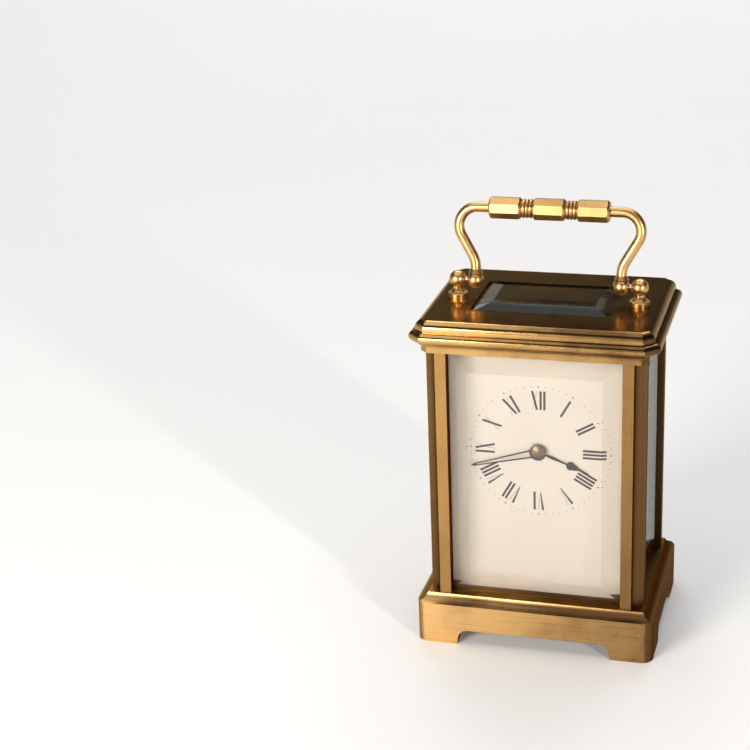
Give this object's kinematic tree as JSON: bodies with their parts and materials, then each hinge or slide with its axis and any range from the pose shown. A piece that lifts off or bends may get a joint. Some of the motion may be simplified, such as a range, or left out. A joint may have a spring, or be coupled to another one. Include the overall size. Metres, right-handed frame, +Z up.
{
  "type": "mantel clock",
  "caption": "Brass carriage clock with bevelled glass sides, enamel dial, slotted hands, hinged back door, folding handle and going movement with platform escapement.",
  "frame": {"origin": "middle of the base's underside, on the surface that the clock stands on", "axes": "+Z up, +X to the viewer's right when facing the dial, +Y towards the back; the dial faces -Y"},
  "size_m": [0.0842, 0.0687, 0.1536],
  "materials": {
    "case_brass": "old polished gilt brass, brown patina in the hollows",
    "movement_brass": "matt gilt brass with fine straight grain",
    "wheel_brass": "polished brass",
    "steel": "polished steel",
    "blued_steel": "dark blued and browned steel",
    "spring_steel": "blue tempered spring steel",
    "enamel": "glossy white enamel with black numerals",
    "glass": "clear bevelled plate glass, faint green edge"
  },
  "bodies": {
    "case": {"base": "case_brass", "front_left_pillar": "case_brass", "front_right_pillar": "case_brass", "back_left_pillar": "case_brass", "back_right_pillar": "case_brass", "cornice": "case_brass", "top_glass_frame": "case_brass", "left_handle_post": "case_brass", "right_handle_post": "case_brass", "handle_post_nuts": "case_brass", "front_glass": "glass", "left_glass": "glass", "right_glass": "glass", "top_glass": "glass", "pillar_screws": "steel", "movement_screws": "steel", "minute_wheel_stud": "steel", "plate_screws": "blued_steel", "click_screw": "blued_steel", "platform_screws": "blued_steel", "balance_spring": "spring_steel", "front_plate": "movement_brass", "back_plate": "movement_brass", "plate_posts": "movement_brass", "seat_blocks": "movement_brass", "platform": "movement_brass", "escapement_bridge": "movement_brass", "balance_cock": "movement_brass", "dial": "enamel"},
    "door": {"door_frame": "case_brass", "door_glass": "glass", "door_knob": "case_brass", "door_hinge_pins": "steel"},
    "handle": {"left_handle_arm": "case_brass", "right_handle_arm": "case_brass", "handle_grip": "case_brass", "handle_pivot_pins": "steel"},
    "barrel": {"spring_barrel": "wheel_brass", "barrel_cover": "wheel_brass", "mainspring": "spring_steel"},
    "winding_arbor": {"barrel_arbor": "steel", "ratchet_wheel": "steel"},
    "click": {"click": "steel"},
    "intermediate": {"intermediate_wheel": "wheel_brass"},
    "centre": {"centre_wheel": "wheel_brass", "centre_arbor": "steel"},
    "third": {"third_wheel": "wheel_brass"},
    "contrate": {"contrate_wheel": "wheel_brass"},
    "escape": {"escape_wheel": "wheel_brass"},
    "lever": {"lever": "steel"},
    "balance": {"balance_wheel": "wheel_brass", "balance_staff": "blued_steel"},
    "minute": {"cannon_pinion": "steel", "minute_hand": "blued_steel", "hand_collet": "blued_steel"},
    "minute_work": {"minute_wheel": "wheel_brass"},
    "hour": {"hour_wheel": "wheel_brass", "hour_hand": "blued_steel"}
  },
  "joints": [
    {"name": "door_swing", "type": "hinge", "parent": "case", "child": "door", "pos_m": [-0.0278, 0.0272, 0.06], "axis": [0, 0, 1], "range_deg": [0, 95]},
    {"name": "handle_swing", "type": "hinge", "parent": "case", "child": "handle", "pos_m": [0, -0.0016, 0.1251], "axis": [1, 0, 0], "range_deg": [-82.5, 101.5]},
    {"name": "contrate_turn", "type": "hinge", "parent": "case", "child": "contrate", "pos_m": [0, 0.004, 0.0865], "axis": [0, -1, 0], "continuous": true},
    {"name": "third_turn", "type": "hinge", "parent": "case", "child": "third", "pos_m": [0.00803, 0.004, 0.08021], "axis": [0, -1, 0], "continuous": true},
    {"name": "centre_turn", "type": "hinge", "parent": "case", "child": "centre", "pos_m": [0, 0.004, 0.0705], "axis": [0, -1, 0], "continuous": true},
    {"name": "intermediate_turn", "type": "hinge", "parent": "case", "child": "intermediate", "pos_m": [-0.00526, 0.004, 0.05856], "axis": [0, -1, 0], "continuous": true},
    {"name": "barrel_turn", "type": "hinge", "parent": "case", "child": "barrel", "pos_m": [0, 0.004, 0.039], "axis": [0, -1, 0], "continuous": true},
    {"name": "escape_turn", "type": "hinge", "parent": "case", "child": "escape", "pos_m": [0, -0.00299, 0.1], "axis": [0, 0, 1], "continuous": true},
    {"name": "lever_rock", "type": "hinge", "parent": "case", "child": "lever", "pos_m": [0, 0.00241, 0.1], "axis": [0, 0, 1], "range_deg": [-3, 3]},
    {"name": "balance_swing", "type": "hinge", "parent": "case", "child": "balance", "pos_m": [0, 0.00731, 0.1], "axis": [0, 0, 1], "range_deg": [-150, 150], "stiffness_Nm_per_rad": 0.000002},
    {"name": "winding_turn", "type": "hinge", "parent": "case", "child": "winding_arbor", "pos_m": [0, 0.004, 0.039], "axis": [0, -1, 0], "continuous": true},
    {"name": "click_lift", "type": "hinge", "parent": "case", "child": "click", "pos_m": [-0.0108, 0.0195, 0.0412], "axis": [0, -1, 0], "range_deg": [0, 15], "stiffness_Nm_per_rad": 0.0001, "springref_deg": -17.19},
    {"name": "minute_hand_turn", "type": "hinge", "parent": "case", "child": "minute", "pos_m": [0, 0.004, 0.0705], "axis": [0, 1, 0], "continuous": true},
    {"name": "hour_hand_turn", "type": "hinge", "parent": "case", "child": "hour", "pos_m": [0, 0.004, 0.0705], "axis": [0, 1, 0], "continuous": true},
    {"name": "minute_wheel_turn", "type": "hinge", "parent": "case", "child": "minute_work", "pos_m": [0, 0.004, 0.06186], "axis": [0, 1, 0], "continuous": true}
  ],
  "couplings": [
    {"joint": "third_turn", "follows": "contrate_turn", "ratio": -0.13333},
    {"joint": "centre_turn", "follows": "contrate_turn", "ratio": 0.016667},
    {"joint": "intermediate_turn", "follows": "contrate_turn", "ratio": -0.0034722},
    {"joint": "barrel_turn", "follows": "contrate_turn", "ratio": 0.00043403},
    {"joint": "escape_turn", "follows": "contrate_turn", "ratio": 10},
    {"joint": "hour_hand_turn", "follows": "minute_hand_turn", "ratio": 0.083333},
    {"joint": "minute_wheel_turn", "follows": "minute_hand_turn", "ratio": -0.33333}
  ]
}
